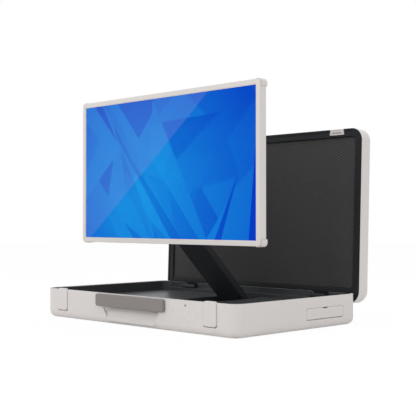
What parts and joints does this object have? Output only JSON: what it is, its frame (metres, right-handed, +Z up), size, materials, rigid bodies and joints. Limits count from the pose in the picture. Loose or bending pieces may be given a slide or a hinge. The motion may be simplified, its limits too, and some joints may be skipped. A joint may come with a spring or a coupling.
{
  "type": "briefcase touchscreen monitor",
  "caption": "Open carry case with a hinged lid and a widescreen touch display on a folding arm that stows flat in the tray.",
  "frame": {"origin": "centre of the case's footprint, on the flat underside", "axes": "+X to the right of a person facing the screen, +Y to the back where the lid hinges, +Z up"},
  "size_m": [0.67, 0.489, 0.5504],
  "materials": {
    "case_beige": "fine matte",
    "grip_taupe": "soft matte",
    "tray_black": "matte",
    "lid_texture": "textured",
    "arm_black": "satin black",
    "screen_beige": "matte",
    "bumper_grey": "soft",
    "rubber_black": "matte",
    "glass_clear": "glossy",
    "panel_dark": "glossy",
    "steel": "brushed",
    "screw_steel": "dark",
    "hinge_alloy": "satin black",
    "light_alloy": "satin",
    "brass_bush": "satin",
    "board_green": "solder mask",
    "post_grey": "matte",
    "battery_blue": "film wrap",
    "strap_black": "woven",
    "socket_metal": "plated",
    "light_pipe": "translucent",
    "button_grey": "matte"
  },
  "bodies": {
    "base": {"base_shell": "case_beige", "foot_pads": "rubber_black", "deck_tray": "tray_black", "deck_posts": "post_grey", "lid_hinge_brackets": "hinge_alloy", "lid_hinge_pins": "steel", "latch_boxes": "tray_black", "latch_pins": "steel", "grip_bar": "grip_taupe", "grip_screws": "screw_steel", "indicator_light_pipes": "light_pipe", "indicator_board": "board_green", "port_bay": "tray_black", "port_cover_pin": "steel", "power_inlet": "socket_metal", "signal_sockets": "socket_metal", "battery_packs": "battery_blue", "battery_strap": "strap_black", "main_board": "board_green", "power_board": "board_green", "board_standoffs": "post_grey", "heat_spreader": "light_alloy", "speakers": "tray_black", "arm_base_casting": "hinge_alloy", "arm_base_screws": "screw_steel", "arm_pivot_shaft": "steel"},
    "lid": {"lid_shell": "case_beige", "lid_frame": "tray_black", "lid_panel": "lid_texture", "lid_posts": "post_grey", "latch_keepers": "case_beige", "lid_hinge_arms": "hinge_alloy"},
    "left_latch": {"latch_plate_left": "case_beige"},
    "right_latch": {"latch_plate_right": "case_beige"},
    "port_flap": {"port_cover": "case_beige"},
    "check_button": {"battery_button": "button_grey"},
    "arm": {"arm_front_shell": "arm_black", "arm_rear_shell": "arm_black", "arm_shell_screws": "screw_steel", "arm_spine": "steel", "pivot_bushes": "brass_bush", "tilt_shaft": "steel"},
    "head": {"head_bracket": "arm_black", "hub_cover": "arm_black"},
    "screen": {"screen_frame": "screen_beige", "touch_glass": "glass_clear", "lcd_panel": "panel_dark", "backlight_plate": "light_alloy", "rear_cover": "screen_beige", "rear_cover_screws": "screw_steel", "screen_board": "board_green", "corner_bumpers": "bumper_grey", "hub_backing_plate": "steel", "hub_rotor": "arm_black", "hub_axle": "steel", "hub_nut": "steel"}
  },
  "joints": [
    {"name": "arm_fold", "type": "hinge", "parent": "base", "child": "arm", "pos_m": [0, 0.1601, 0.022], "axis": [1, 0, 0], "range_deg": [0, 44.5]},
    {"name": "screen_tilt", "type": "hinge", "parent": "arm", "child": "head", "pos_m": [0, -0.05604, 0.22879], "axis": [1, 0, 0], "range_deg": [-135, 0]},
    {"name": "screen_turn", "type": "hinge", "parent": "head", "child": "screen", "pos_m": [0, -0.08861, 0.36835], "axis": [0, 1, 0], "range_deg": [-30, 0]},
    {"name": "lid_hinge", "type": "hinge", "parent": "base", "child": "lid", "pos_m": [0, 0.198, 0.0588], "axis": [1, 0, 0], "range_deg": [0, 38]},
    {"name": "left_latch_hinge", "type": "hinge", "parent": "base", "child": "left_latch", "pos_m": [-0.26, -0.2083, 0.0245], "axis": [1, 0, 0], "range_deg": [0, 60]},
    {"name": "right_latch_hinge", "type": "hinge", "parent": "base", "child": "right_latch", "pos_m": [0.26, -0.2083, 0.0245], "axis": [1, 0, 0], "range_deg": [0, 60]},
    {"name": "port_cover_hinge", "type": "hinge", "parent": "base", "child": "port_flap", "pos_m": [0.3315, 0.0842, 0.0293], "axis": [0, 1, 0], "range_deg": [0, 90]},
    {"name": "button_press", "type": "slide", "parent": "base", "child": "check_button", "axis": [0, 1, 0], "range_m": [0, 0.0006], "stiffness_N_per_m": 300, "springref_m": -0.0002}
  ],
  "couplings": [
    {"joint": "screen_tilt", "follows": "arm_fold", "ratio": -3.0225}
  ]
}
